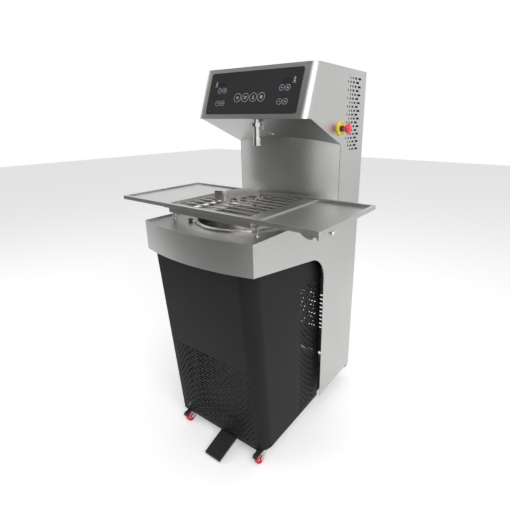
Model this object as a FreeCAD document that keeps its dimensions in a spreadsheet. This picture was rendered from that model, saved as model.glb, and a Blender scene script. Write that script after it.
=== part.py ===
import FreeCAD, Part
import math
import os

import Sketcher
from FreeCAD import Placement, Rotation, Vector

# Chocolate tempering machine with a vibrating table: millimetres, +Z up, front towards -Y.
# The origin is the centre of the footprint, on the floor.

doc = FreeCAD.newDocument("TemperingMachine")
sheet = doc.addObject("Spreadsheet::Sheet", "Sizes")
nodes = []


# ---------------------------------------------------------------- sizes and formulas

class Dim:
    """A number together with the spreadsheet formula that gives it."""

    def __init__(self, value, formula):
        self.value = value
        self.formula = formula

    def __float__(self):
        return self.value

    def __neg__(self):
        return Dim(-self.value, "-(" + self.formula + ")")

    def __add__(self, other):
        return join(self, "+", other)

    def __radd__(self, other):
        return join(other, "+", self)

    def __sub__(self, other):
        return join(self, "-", other)

    def __rsub__(self, other):
        return join(other, "-", self)

    def __mul__(self, other):
        return join(self, "*", other)

    def __rmul__(self, other):
        return join(other, "*", self)

    def __truediv__(self, other):
        return join(self, "/", other)

    def __rtruediv__(self, other):
        return join(other, "/", self)


def dim(number):
    """Any number as a Dim."""
    if isinstance(number, Dim):
        return number
    return Dim(float(number), repr(float(number)))


def join(first, sign, second):
    first, second = dim(first), dim(second)
    a, b = first.value, second.value
    result = {"+": a + b, "-": a - b, "*": a * b, "/": a / b if b else 0.0}[sign]
    return Dim(result, "(" + first.formula + " " + sign + " " + second.formula + ")")


def sine(angle):
    angle = dim(angle)
    return Dim(math.sin(math.radians(angle.value)), "sin(" + angle.formula + ")")


def cosine(angle):
    angle = dim(angle)
    return Dim(math.cos(math.radians(angle.value)), "cos(" + angle.formula + ")")


def arc_tangent(rise, run):
    """The angle in degrees of a slope."""
    rise, run = dim(rise), dim(run)
    return Dim(math.degrees(math.atan2(rise.value, run.value)),
               "(atan(" + rise.formula + " / " + run.formula + ") / 1 deg)")


def root(number):
    number = dim(number)
    return Dim(math.sqrt(number.value), "sqrt(" + number.formula + ")")


def size(name, value):
    """Write one driving dimension to the sheet and return it."""
    size.row += 1
    sheet.set("A%d" % size.row, name)
    sheet.set("B%d" % size.row, str(value))
    sheet.setAlias("B%d" % size.row, name)
    return Dim(float(value), "Sizes." + name)


size.row = 0


def bind(obj, name, number):
    """Tie one property of an object to the sheet."""
    number = dim(number)
    obj.setExpression(name, number.formula)


def place(obj, at, axis=None, angle=None):
    """Place an object, with every coordinate tied to the sheet."""
    turn = Rotation(axis, float(dim(angle))) if axis else Rotation()
    obj.Placement = Placement(Vector(*[float(dim(c)) for c in at]), turn)
    for name, number in zip("xyz", at):
        if isinstance(number, Dim):
            bind(obj, "Placement.Base." + name, number)
    if axis and isinstance(angle, Dim):
        bind(obj, "Placement.Rotation.Angle", angle)
    return obj


def node(obj, name):
    """Name a finished sub-part: its label is its file's name."""
    obj.Label = name
    nodes.append(obj)
    return obj


# ---------------------------------------------------------------- primitives

ALONG_X = (Vector(0, 1, 0), 90)
ALONG_Y = (Vector(1, 0, 0), -90)
ALONG_Z = (None, None)
X_AXIS = Vector(1, 0, 0)
Y_AXIS = Vector(0, 1, 0)
Z_AXIS = Vector(0, 0, 1)


def box(name, at, length, width, height, axis=None, angle=None):
    """A block whose low corner is at the given point."""
    obj = doc.addObject("Part::Box", name)
    bind(obj, "Length", length)
    bind(obj, "Width", width)
    bind(obj, "Height", height)
    return place(obj, at, axis, angle)


def block(name, centre_x, centre_y, low_z, length, width, height):
    """A block standing on a level, centred in plan."""
    return box(name, (centre_x - length / 2, centre_y - width / 2, low_z), length, width, height)


def rod(name, at, radius, length, direction=ALONG_Z):
    """A cylinder from its start point along X, Y or Z."""
    obj = doc.addObject("Part::Cylinder", name)
    bind(obj, "Radius", radius)
    bind(obj, "Height", length)
    return place(obj, at, *direction)


def fuse(name, *shapes):
    obj = doc.addObject("Part::MultiFuse", name)
    obj.Shapes = list(shapes)
    return obj


def cut(name, base, *tools):
    obj = doc.addObject("Part::Cut", name)
    obj.Base = base
    obj.Tool = tools[0] if len(tools) == 1 else fuse(name + "_tools", *tools)
    return obj


def group(name, *shapes):
    """Identical separate solids kept together."""
    obj = doc.addObject("Part::Compound", name)
    obj.Links = list(shapes)
    return obj


# ---------------------------------------------------------------- sketched bodies

def new_body(name):
    return doc.addObject("PartDesign::Body", name)


def new_sketch(body, plane, offset, loops):
    """A fully dimensioned sketch on one of the body's origin planes.

    A loop is a circle ("circle", x, y, radius) or a list of corners (x, y) or
    (x, y, fillet) with ("via", x, y) between two corners that an arc joins.
    """
    sketch = body.newObject("Sketcher::SketchObject", body.Name + "_sketch")
    support = [f for f in body.Origin.OriginFeatures if f.Role == plane + "_Plane"]
    sketch.AttachmentSupport = [(support[0], "")]
    sketch.MapMode = "FlatFace"
    sketch.AttachmentOffset = Placement(Vector(0, 0, float(dim(offset))), Rotation())
    bind(sketch, "AttachmentOffset.Base.z", offset)
    for loop in loops:
        if loop[0] == "circle":
            draw_circle(sketch, *loop[1:])
        else:
            draw_outline(sketch, loop)
    return sketch


def pin_point(sketch, geometry, position, x, y):
    """Dimension one point of a sketch from its origin."""
    for kind, number in (("DistanceX", dim(x)), ("DistanceY", dim(y))):
        rule = Sketcher.Constraint(kind, -1, 1, geometry, position, number.value)
        index = sketch.addConstraint(rule)
        if number.formula != repr(number.value):
            sketch.setExpression("Constraints[%d]" % index, number.formula)


def draw_circle(sketch, x, y, radius):
    centre = Vector(float(dim(x)), float(dim(y)), 0)
    index = sketch.addGeometry(Part.Circle(centre, Z_AXIS, float(dim(radius))), False)
    pin_point(sketch, index, 3, x, y)
    rule = sketch.addConstraint(Sketcher.Constraint("Radius", index, float(dim(radius))))
    bind(sketch, "Constraints[%d]" % rule, radius)


def nearest_end(sketch, geometry, point):
    """Which end of a line or arc, 1 or 2, lies at a point."""
    gaps = [sketch.getPoint(geometry, end).distanceToPoint(point) for end in (1, 2)]
    return 1 + gaps.index(min(gaps))


def draw_outline(sketch, steps):
    """Draw a closed outline of lines and arcs with every corner dimensioned."""
    corners = [step for step in steps if step[0] != "via"]
    vias = {}
    seen = 0
    for step in steps:
        if step[0] == "via":
            vias[seen - 1] = step[1:]
        else:
            seen += 1
    count = len(corners)
    spots = [Vector(float(dim(c[0])), float(dim(c[1])), 0) for c in corners]
    leave, arrive = list(spots), list(spots)
    for i, corner in enumerate(corners):
        if len(corner) == 3:
            to_last = (spots[i - 1] - spots[i]).normalize()
            to_next = (spots[(i + 1) % count] - spots[i]).normalize()
            half_angle = to_last.getAngle(to_next) / 2
            reach = float(dim(corner[2])) / math.tan(half_angle)
            arrive[i] = spots[i] + to_last * reach
            leave[i] = spots[i] + to_next * reach
    edges = []
    for i in range(count):
        end = arrive[(i + 1) % count]
        if i in vias:
            middle = Vector(float(dim(vias[i][0])), float(dim(vias[i][1])), 0)
            edges.append(sketch.addGeometry(Part.Arc(leave[i], middle, end), False))
            point = sketch.addGeometry(Part.Point(middle), True)
            pin_point(sketch, point, 1, *vias[i])
            sketch.addConstraint(Sketcher.Constraint("PointOnObject", point, 1, edges[i]))
        else:
            edges.append(sketch.addGeometry(Part.LineSegment(leave[i], end), False))
    for i, corner in enumerate(corners):
        before, after = edges[i - 1], edges[i]
        end = nearest_end(sketch, before, arrive[i])
        start = nearest_end(sketch, after, leave[i])
        if len(corner) == 2:
            sketch.addConstraint(Sketcher.Constraint("Coincident", before, end, after, start))
            pin_point(sketch, after, start, corner[0], corner[1])
            continue
        radius = float(dim(corner[2]))
        inward = (arrive[i] + leave[i] - spots[i] * 2).normalize()
        reach = (arrive[i] - spots[i]).Length
        centre_gap = math.hypot(reach, radius)
        middle = spots[i] + inward * (centre_gap - radius)
        arc = sketch.addGeometry(Part.Arc(arrive[i], middle, leave[i]), False)
        first = nearest_end(sketch, arc, arrive[i])
        sketch.addConstraint(Sketcher.Constraint("Tangent", before, end, arc, first))
        sketch.addConstraint(Sketcher.Constraint("Tangent", arc, 3 - first, after, start))
        rule = sketch.addConstraint(Sketcher.Constraint("Radius", arc, radius))
        bind(sketch, "Constraints[%d]" % rule, corner[2])
        point = sketch.addGeometry(Part.Point(spots[i]), True)
        pin_point(sketch, point, 1, corner[0], corner[1])
        sketch.addConstraint(Sketcher.Constraint("PointOnObject", point, 1, before))
        sketch.addConstraint(Sketcher.Constraint("PointOnObject", point, 1, after))


def pad(body, sketch, length, symmetric=False, reverse=False):
    feature = body.newObject("PartDesign::Pad", body.Name + "_pad")
    feature.Profile = sketch
    bind(feature, "Length", length)
    feature.Midplane = symmetric
    feature.Reversed = reverse
    return feature


def pocket(body, sketch, depth=None, reverse=False):
    """Cut a sketch into the body: through both ways when no depth is given."""
    feature = body.newObject("PartDesign::Pocket", body.Name + "_pocket")
    feature.Profile = sketch
    if depth is None:
        feature.Type = "ThroughAll"
        feature.Midplane = True
    else:
        bind(feature, "Length", depth)
    feature.Reversed = reverse
    return feature


def revolve(body, sketch):
    """Turn a sketch once round its own vertical axis."""
    feature = body.newObject("PartDesign::Revolution", body.Name + "_turn")
    feature.Profile = sketch
    feature.ReferenceAxis = (sketch, ["V_Axis"])
    feature.Angle = 360
    return feature


def loft(body, low, high):
    feature = body.newObject("PartDesign::AdditiveLoft", body.Name + "_loft")
    feature.Profile = low
    feature.Sections = [high]
    feature.Ruled = True
    return feature


def turned(name, outline, at=(0, 0, 0), direction=ALONG_Z):
    """A body of revolution: the outline is (radius, height) pairs."""
    body = new_body(name)
    revolve(body, new_sketch(body, "XZ", 0, [outline]))
    return place(body, at, *direction)


def plate(name, plane, offset, loops, thickness, at=(0, 0, 0), **options):
    """A body made by padding one sketch."""
    body = new_body(name)
    pad(body, new_sketch(body, plane, offset, loops), thickness, **options)
    return place(body, at)


# ---------------------------------------------------------------- driving dimensions

width = size("width", 516)
depth = size("depth", 802)
height = size("height", 1500)
steel = size("steel_thickness", 2)
fit = size("fit_clearance", 0.3)

deck_height = size("deck_height", 958)
deck_drop = size("deck_drop", 6)
band_height = size("band_height", 111)
band_bow = size("band_bow", 35)
band_fall = size("band_fall", 67)
band_bend = size("band_bend_radius", 115)
lower_depth = size("lower_side_depth", 308)
side_lift = size("side_lift", 89)
column_depth = size("column_depth", 208)
splash_bow = size("splash_bow", 67)
head_depth = size("head_depth", 408)
head_lean = size("head_lean", 67)
head_height = size("head_height", 183)
head_bend = size("head_bend_radius", 30)
underside_drop = size("underside_drop", 97)
process_x = size("process_offset", 20)

half = width / 2
inner = half - steel
back = depth / 2
front = -back
band_y = front + band_bow
band_z = deck_height - band_height
side_y = back - lower_depth
column_y = back - column_depth
head_y = back - head_depth
low_y = head_y - head_lean
head_edge = head_bend + steel
low_z = height - head_height
deck_top = deck_height - deck_drop
roof = height - steel
slope = underside_drop / (column_y - low_y - head_bend)


def underside(y):
    """Height of the head's sloping underside at a depth."""
    return low_z - (y - low_y - head_bend) * slope


# ---------------------------------------------------------------- steel casing

def side_outline():
    """One sheet from the head down to the base: head, column, deck side and lower side."""
    return [(back, side_lift), (side_y, side_lift), (side_y, band_z - band_fall, band_bend),
            (band_y + steel, band_z), (band_y + steel, deck_height),
            (column_y, deck_height), (column_y, underside(column_y)),
            (low_y + head_edge, underside(low_y + head_edge)), (head_y + head_edge, roof),
            (back, roof)]


vent_rows = 19
vent_pitch = size("vent_pitch", 15)
vent_height = size("vent_slot_height", 7.5)
vent_low = height - size("vent_lowest_below_top", 302)
vent_back = size("vent_from_back", 65)


def vent_punch(name):
    """Head vents: rows of four slots that shrink from the back edge towards the front."""
    widths = (28, 16.5, 10, 7.5)
    gaps = (0, 36, 61, 83)
    shift = 18
    slots = []
    for row in range(vent_rows):
        z = float(vent_low) + row * float(vent_pitch)
        middle = float(back - vent_back) - shift * (row % 2)
        shown = 3 if row < 2 else 4
        for wide, gap in zip(widths[:shown], gaps):
            slot = Part.makeBox(width.value + 20, wide, vent_height.value)
            slot.translate(Vector(-width.value / 2 - 10, middle - gap - wide / 2,
                                  z - vent_height.value / 2))
            slots.append(slot)
    punch = doc.addObject("Part::Feature", name)
    punch.Shape = Part.makeCompound(slots)
    return punch


estop_z = height - size("stop_button_below_top", 219)
estop_y = back - size("stop_button_from_back", 220)
estop_hole = size("stop_button_hole_radius", 11.15)

side_sheet = plate("side_sheet", "YZ", inner, [side_outline()], steel)
right_hole = rod("estop_hole", (inner - 5, estop_y, estop_z), estop_hole, steel + 10, ALONG_X)
node(cut("right_side", side_sheet, vent_punch("vents_right"), right_hole), "side_panel_right")
left_sheet = plate("left_sheet", "YZ", -half, [side_outline()], steel)
node(cut("left_side", left_sheet, vent_punch("vents_left")), "side_panel_left")


def louvre_punch(name, low, count, across):
    """Rows of long vent slots through the back sheet."""
    slots = []
    for row in range(count):
        for column in (-1, 1):
            slot = Part.makeBox(across, 20, 6)
            slot.translate(Vector(column * (across / 2 + 12) - across / 2, back.value - 10,
                                  low + row * 24))
            slots.append(slot)
    punch = doc.addObject("Part::Feature", name)
    punch.Shape = Part.makeCompound(slots)
    return punch


inlet_x = size("inlet_from_middle", 150)
inlet_z = size("inlet_height", 190)
inlet_width = size("inlet_cutout_width", 28)
inlet_height = size("inlet_cutout_height", 48)
back_sheet = box("back_sheet", (-inner, back - steel, side_lift), inner * 2, steel,
                 roof - side_lift)
inlet_hole = block("inlet_hole", inlet_x, back, inlet_z - inlet_height / 2, inlet_width, 20,
                   inlet_height)
node(cut("back", back_sheet, louvre_punch("low_louvres", 240, 9, 150),
         louvre_punch("high_louvres", 1290, 5, 100), inlet_hole), "back_panel")

# the roof sheet closes the head, its front corners bent like the head's own
roof_outline = [(-half, back), (-half, head_y, head_bend), (half, head_y, head_bend),
                (half, back)]
node(plate("roof_sheet", "XY", roof, [roof_outline], steel), "top_cover")


QUARTER_CUT = 1 - 0.5 ** 0.5


def wrap_outline(y, left, right, sheet_size, depth_back):
    """A U in plan: two sides and a front, bent round two corners.

    Each side is a pair: its distance from the middle and the radius of its bend.
    """
    half_left, left_bend = left
    half_right, right_bend = right
    inside_left, inside_right = left_bend - sheet_size, right_bend - sheet_size
    return [(-half_left, depth_back), (-half_left, y + left_bend),
            ("via", -half_left + left_bend * QUARTER_CUT, y + left_bend * QUARTER_CUT),
            (-half_left + left_bend, y), (half_right - right_bend, y),
            ("via", half_right - right_bend * QUARTER_CUT, y + right_bend * QUARTER_CUT),
            (half_right, y + right_bend), (half_right, depth_back),
            (half_right - sheet_size, depth_back), (half_right - sheet_size, y + right_bend),
            ("via", half_right - sheet_size - inside_right * QUARTER_CUT,
             y + sheet_size + inside_right * QUARTER_CUT),
            (half_right - right_bend, y + sheet_size), (-half_left + left_bend, y + sheet_size),
            ("via", -half_left + sheet_size + inside_left * QUARTER_CUT,
             y + sheet_size + inside_left * QUARTER_CUT),
            (-half_left + sheet_size, y + left_bend), (-half_left + sheet_size, depth_back)]


# the head's leaning front: a lofted sheet with bent corners and a window for the glass
lean_length = root(head_lean * head_lean + head_height * head_height)
lean_sine = head_lean / lean_length
lean_cosine = head_height / lean_length
lean_turn = 90 - arc_tangent(head_lean, head_height)
glass_width = size("glass_width", 428)
glass_height = size("glass_height", 161)
glass_thickness = size("glass_thickness", 4)
glass_low = size("glass_from_bottom", 18)
glass_corner = size("glass_corner_radius", 9)
glass_proud = size("glass_proud", 1)


def on_face(obj, x, up, out):
    """Place an object on the leaning front: X, distance up the face, distance out of it."""
    y = low_y + up * lean_sine - out * lean_cosine
    z = low_z + up * lean_cosine + out * lean_sine
    return place(obj, (x, y, z), X_AXIS, lean_turn)


def face_pad(name, wide, high, corner, thickness):
    """A plate with rounded corners, drawn flat, its lower edge on the X axis."""
    outline = [(-wide / 2, 0, corner), (wide / 2, 0, corner), (wide / 2, high, corner),
               (-wide / 2, high, corner)]
    return plate(name, "XY", 0, [outline], thickness)


head_body = new_body("head_sheet")
lip = size("head_flange", 28)
low_wrap = new_sketch(head_body, "XY", low_z, [
    wrap_outline(low_y, (half, head_bend), (half, head_bend), steel, low_y + head_edge)])
high_wrap = new_sketch(head_body, "XY", roof, [
    wrap_outline(head_y, (half, head_bend), (half, head_bend), steel, head_y + head_edge)])
loft(head_body, low_wrap, high_wrap)
head_flange = block("head_flange_sheet", dim(0), low_y + steel + lip / 2, low_z,
                    (half - head_bend) * 2, lip, steel)
window = face_pad("window", glass_width + fit * 2, glass_height + fit * 2,
                  glass_corner + fit, steel * 10)
on_face(window, 0, glass_low - fit, -steel * 5)
spout_y = head_y - size("spout_from_head_front", 29)
spout_hole = size("spout_hole_radius", 14)
flange_hole = rod("flange_hole", (process_x, spout_y, low_z - steel), spout_hole, steel * 3)
node(cut("head", fuse("head_shell", head_body, head_flange), window, flange_hole),
     "head_front")

glass = face_pad("glass", glass_width, glass_height, glass_corner, glass_thickness)
node(on_face(glass, 0, glass_low, glass_proud - glass_thickness), "control_glass")

# the electronics box fills the space behind the glass, with a lip that holds the pane
board_depth = size("control_box_depth", 42)
board_margin = size("control_box_margin", 10)
board_low = glass_low + size("control_box_lift", 30)
board = face_pad("board", glass_width - board_margin * 2,
                 glass_low + glass_height - board_margin - board_low, glass_corner, board_depth)
node(on_face(board, 0, board_low, glass_proud - glass_thickness - board_depth), "control_box")

# sloping underside, with the hole for the outlet
first_y, last_y = low_y + steel + lip, column_y + 8
under_body = new_body("underside_sheet")
pad(under_body, new_sketch(under_body, "YZ", 0, [[
    (first_y, underside(first_y)), (last_y, underside(last_y)),
    (last_y, underside(last_y) + steel), (first_y, underside(first_y) + steel)]]),
    inner * 2, symmetric=True)
pocket(under_body, new_sketch(under_body, "XY", 0, [
    ("circle", process_x, spout_y, spout_hole)]))
node(under_body, "head_underside")


def bow(half_length, ends_y, middle_y, thickness):
    """A strip in plan whose two faces bow forward between its ends."""
    return [(-half_length, ends_y), ("via", 0, middle_y), (half_length, ends_y),
            (half_length, ends_y + thickness), ("via", 0, middle_y + thickness),
            (-half_length, ends_y + thickness)]


# bowed splash panel between the deck and the head, its top trimmed to the underside
splash = new_body("splash_sheet")
pad(splash, new_sketch(splash, "XY", deck_top, [
    bow(inner, column_y, column_y - splash_bow, steel)]), low_z - deck_top)
trim_y = column_y - splash_bow - 10
pocket(splash, new_sketch(splash, "YZ", 0, [[
    (trim_y, underside(trim_y)), (column_y + 10, underside(column_y + 10)),
    (column_y + 10, low_z + 10), (trim_y, low_z + 10)]]))
node(splash, "splash_panel")

# bowed front band and the deck behind it
node(plate("band_sheet", "XY", band_z, [bow(half, band_y, front, steel)], band_height),
     "front_band")

bowl_y = back - size("bowl_from_back", 513)
bowl_radius = size("bowl_radius", 186)
bowl_hole = bowl_radius + fit * 2
deck_outline = [(-inner, band_y + steel), ("via", 0, front + steel), (inner, band_y + steel),
                (inner, column_y + 6), (-inner, column_y + 6)]
node(plate("deck_sheet", "XY", deck_top - steel,
           [deck_outline, ("circle", process_x, bowl_y, bowl_hole)], steel), "deck")


# ---------------------------------------------------------------- painted lower cover

cover_left = size("cover_left_from_middle", 236)
cover_right = size("cover_right_from_middle", 228)
cover_low_z = size("cover_bottom", 58)
cover_high_z = size("cover_top", 880)
cover_low_y = front + size("cover_bottom_setback", 109)
cover_lean = size("cover_lean", 64)
cover_bend = size("cover_right_bend_radius", 54)
cover_left_bend = size("cover_left_bend_radius", 10)
cover_back_y = side_y + 30
cover_rise = cover_high_z - cover_low_z
cover_sides = (cover_left, cover_left_bend), (cover_right, cover_bend)

cover_body = new_body("cover_sheet")
cover_low = new_sketch(cover_body, "XY", cover_low_z, [
    wrap_outline(cover_low_y, *cover_sides, steel, cover_back_y)])
cover_high = new_sketch(cover_body, "XY", cover_high_z, [
    wrap_outline(cover_low_y - cover_lean, *cover_sides, steel, cover_back_y)])
loft(cover_body, cover_low, cover_high)

grille_rows = 25
side_rows = 42
grille_x = size("grille_offset", -10)
grille_pitch = size("grille_pitch", 14.35)
grille_low = size("grille_lowest_row", 87)
grille_slot = size("grille_slot_height", 7)
grille_wide = size("grille_longest_slot", 49)
grille_gap = size("grille_gap", 10.5)
grille_reach = size("grille_reach", 172)
side_reach = size("side_grille_reach", 146)


def cover_front(z):
    """Depth of the cover's leaning front at a height."""
    return float(cover_low_y) - float(cover_lean) * (z - float(cover_low_z)) / float(cover_rise)


def slot_row(odd, longest, reach, last):
    """Slots of one row outwards from the middle: they shrink to dots at the reach.

    Even rows have a slot in the middle and odd rows a gap, so that the rows interlock.
    """
    tall, gap = float(grille_slot), float(grille_gap)
    spots = []
    edge = gap / 2 if odd else -longest / 2
    while edge < last:
        wide = longest
        for _ in range(4):
            wide = max(tall, longest * (1 - ((edge + wide / 2) / reach) ** 2))
        spots.append((edge + wide / 2, wide))
        edge += wide + gap
    return spots


def grille_punch(name):
    """Air slots: interlocking rows in the front and, across the machine, in both sides."""
    slots = []
    tall = float(grille_slot)
    for row in range(grille_rows):
        z = float(grille_low) + row * float(grille_pitch)
        for x, wide in slot_row(row % 2 == 0, float(grille_wide), float(grille_reach), 190):
            for side in (1, -1) if x > 1 else (1,):
                slot = Part.makeBox(wide, 40, tall)
                slot.translate(Vector(float(grille_x) + side * x - wide / 2,
                                      cover_front(z) - 18, z - tall / 2))
                slots.append(slot)
    reach_across = float(cover_left + cover_right) + 20
    for row in range(side_rows):
        z = float(grille_low) + row * float(grille_pitch)
        for back_way, wide in slot_row(row % 2 == 0, 26, float(side_reach), 130):
            if back_way > 8:
                slot = Part.makeBox(reach_across, wide, tall)
                slot.translate(Vector(-float(cover_left) - 10,
                                      float(side_y) - back_way - wide / 2, z - tall / 2))
                slots.append(slot)
    punch = doc.addObject("Part::Feature", name)
    punch.Shape = Part.makeCompound(slots)
    return punch


node(cut("cover", cover_body, grille_punch("grille")), "lower_cover")


# ---------------------------------------------------------------- base frame and casters

base_z = size("base_height", 73)
base_sheet = size("base_thickness", 3)
tube = size("frame_tube", 25)
tube_wall = size("frame_tube_wall", 2)
base_gap = steel + 1
base_half = cover_right - base_gap
base_top = base_z + base_sheet
rear_x = inner - tube / 2 - 1
rear_y = back - steel - tube / 2 - 1
front_x = base_half - tube / 2
front_post_y = cover_low_y + cover_bend + tube / 2


def post(name, x, y, high):
    """An upright of square tube on the base plate."""
    outside = block(name + "_out", x, y, base_top, tube, tube, high - base_top)
    bore = tube - tube_wall * 2
    return cut(name, outside, block(name + "_in", x, y, base_top - 1, bore, bore,
                                    high - base_top + 2))


base_plate = plate("base_sheet", "XY", base_z, [[
    (-base_half, back - base_gap), (-base_half, cover_low_y + base_gap, cover_bend - base_gap),
    (base_half, cover_low_y + base_gap, cover_bend - base_gap),
    (base_half, back - base_gap)]], base_sheet)
base_wing = block("base_wing", dim(0), rear_y, base_z, (inner - 1) * 2, tube, base_sheet)
node(fuse("base", base_plate, base_wing, post("rear_right_post", rear_x, rear_y, roof),
          post("rear_left_post", -rear_x, rear_y, roof),
          post("front_right_post", front_x, front_post_y, deck_top - steel),
          post("front_left_post", -front_x, front_post_y, deck_top - steel)), "base_frame")

wheel_radius = size("wheel_radius", 25)
wheel_width = size("wheel_width", 19)
caster_x = size("caster_from_middle", 199)
caster_front_y = front + size("caster_front_setback", 140)
caster_rear_y = back - size("caster_rear_setback", 60)
trail = size("caster_trail", 25)
fork_gap = size("fork_inside_width", 23)
fork_wall = size("fork_wall", 3)
fork_top = size("fork_top_height", 57)
axle_radius = size("axle_radius", 4)
race_radius = size("caster_race_radius", 15)
stub_radius = size("caster_stub_radius", 6)
brake_pin_radius = size("brake_pin_radius", 1.5)
brake_thick = size("brake_tab_thickness", 3.6)
running = size("running_clearance", 0.1)
fork_half = fork_gap / 2 + fork_wall
brake_y = -trail - 2
brake_z = wheel_radius * 2 + brake_thick - 0.2


def make_fork(name, x, y, forward):
    """A swivel fork: two legs, the bridge over the wheel, the stub and the riveted axle."""
    leg_low, leg_half = wheel_radius - 7, dim(7)
    ear_low = fork_top - 11
    legs = plate(name + "_legs", "YZ", 0, [[
        (race_radius, fork_top), (race_radius, fork_top - 14, 6),
        (-trail + leg_half, leg_low, 6), (-trail - leg_half, leg_low, 6),
        (-trail - leg_half, wheel_radius + 5, 5), (-trail + 12, ear_low),
        (brake_y - 6, ear_low, 2), (brake_y - 6, fork_top, 3)]], fork_half * 2, symmetric=True)
    space = block(name + "_space", dim(0), -trail, 0, fork_gap, (trail + 30) * 2,
                  fork_top - fork_wall)
    mouth = block(name + "_mouth", dim(0), brake_y - 15, fork_top - 20, fork_gap, dim(42),
                  dim(30))
    stub = rod(name + "_stub", (0, 0, fork_top - 1), stub_radius, base_z - fork_top)
    axle = rod(name + "_axle", (-fork_half, -trail, wheel_radius), axle_radius, fork_half * 2,
               ALONG_X)
    pin_hole = rod(name + "_pin_hole", (-fork_half, brake_y, brake_z),
                   brake_pin_radius + running, fork_half * 2, ALONG_X)
    shell = cut(name + "_shell", legs, space, mouth, pin_hole)
    whole = fuse(name, shell, stub, axle)
    if forward:
        return node(place(whole, (x, y, 0)), name)
    return node(place(whole, (x, y, 0), Z_AXIS, 180), name)


def make_wheel(name, x, y):
    """A wheel with a rounded tread, a recess in both faces and a bored hub."""
    rim = wheel_radius - 6
    side = wheel_width / 2
    hub = fork_gap / 2 - fit
    wheel = turned(name, [
        (axle_radius + running, -hub), (axle_radius + 5, -hub), (axle_radius + 6, -side + 4),
        (rim, -side + 4), (rim + 1, -side), (wheel_radius - 2, -side),
        (wheel_radius, -side + 4), (wheel_radius, side - 4), (wheel_radius - 2, side),
        (rim + 1, side), (rim, side - 4), (axle_radius + 6, side - 4), (axle_radius + 5, hub),
        (axle_radius + running, hub)])
    return node(place(wheel, (x, y, wheel_radius), *ALONG_X), name)


def make_brake(name, x, y):
    """The foot tab over a front wheel, on its pin between the fork legs."""
    low, high = brake_z - brake_thick / 2, brake_z + brake_thick / 2
    tab = plate(name + "_tab", "YZ", 0, [[
        (brake_y + 4, low), (brake_y + 4, high), (brake_y - 15, high, 3),
        (brake_y - 28, high + 1), (brake_y - 28, high - 2), (brake_y - 18, high - 3),
        (brake_y - 31, low - 4), (brake_y - 32, low - 7), (brake_y - 13, low, 3)]],
        fork_gap - 2, symmetric=True)
    pin = rod(name + "_pin", (-fork_half, brake_y, brake_z), brake_pin_radius, fork_half * 2,
              ALONG_X)
    return node(place(fuse(name, tab, pin), (x, y, 0)), name)


caster_mounts = []
for side, x in (("left", -caster_x), ("right", caster_x)):
    for end, y, ahead in (("front", caster_front_y, 1), ("rear", caster_rear_y, -1)):
        where = end + "_" + side
        make_fork("caster_fork_" + where, x, y, ahead == 1)
        make_wheel("caster_wheel_" + where, x, y - trail * ahead)
        if end == "front":
            make_brake("brake_tab_" + side, x, y)
        low = fork_top + fit
        caster_mounts.append(turned("mount_" + where, [
            (stub_radius + running, low), (race_radius, low), (race_radius, base_z - 3),
            (race_radius + 3, base_z - 3), (race_radius + 3, base_z),
            (stub_radius + running, base_z)], (x, y, 0)))
node(group("mounts", *caster_mounts), "caster_mounts")


# ---------------------------------------------------------------- foot pedal

pedal_x = size("pedal_from_middle", 36)
pedal_width = size("pedal_width", 80)
pedal_reach = size("pedal_reach", 96)
pedal_sheet = size("pedal_thickness", 2)
pedal_pivot_y = cover_low_y + size("pedal_pivot_setback", 60)
pedal_pivot_z = size("pedal_pivot_height", 59)
pedal_tip_z = size("pedal_tip_height", 21)
pedal_pin = size("pedal_pin_radius", 5)
pedal_wall = size("pedal_side_height", 9)
pedal_top = base_z - 3.5
tip_y = cover_low_y - pedal_reach
pedal_knee_y = cover_low_y + 40

pedal_form = plate("pedal_form", "YZ", pedal_x, [[
    (pedal_pivot_y + 11, pedal_pivot_z - 8, 4), (pedal_pivot_y + 11, pedal_top, 5),
    (pedal_knee_y, pedal_top, 12), (tip_y, pedal_tip_z), (tip_y, pedal_tip_z - pedal_wall),
    (pedal_knee_y, pedal_top - pedal_wall * 2, 12)]], pedal_width, symmetric=True)
under_y = pedal_pivot_y + 20
pedal_space = plate("pedal_space", "YZ", pedal_x, [[
    (under_y, pedal_tip_z - 30), (under_y, pedal_top - pedal_sheet),
    (pedal_knee_y, pedal_top - pedal_sheet, 10), (tip_y + 3, pedal_tip_z - pedal_sheet + 1),
    (tip_y + 3, pedal_tip_z - 30)]], pedal_width - pedal_sheet * 2, symmetric=True)
pedal_bore = rod("pedal_bore", (pedal_x - pedal_width, pedal_pivot_y, pedal_pivot_z),
                 pedal_pin + running, pedal_width * 2, ALONG_X)
node(cut("pedal_sheet", pedal_form, pedal_space, pedal_bore), "pedal")

ear = size("pedal_bracket_thickness", 4)
ear_x = pedal_width / 2 + 1
ears = []
for side in (-1, 1):
    ears.append(plate("ear", "YZ", pedal_x + side * (ear_x + ear / 2), [[
        (pedal_pivot_y - 14, base_z), (pedal_pivot_y - 9, pedal_pivot_z - 9, 8),
        (pedal_pivot_y + 9, pedal_pivot_z - 9, 8), (pedal_pivot_y + 14, base_z)]],
        ear, symmetric=True))
ear_bore = rod("ear_bore", (pedal_x - pedal_width, pedal_pivot_y, pedal_pivot_z), pedal_pin,
               pedal_width * 2, ALONG_X)
node(cut("ears_bored", group("ears", *ears), ear_bore), "pedal_bracket")
pin_half = ear_x + ear + 3
node(rod("pin", (pedal_x - pin_half, pedal_pivot_y, pedal_pivot_z), pedal_pin, pin_half * 2,
         ALONG_X), "pedal_pin")


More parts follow.
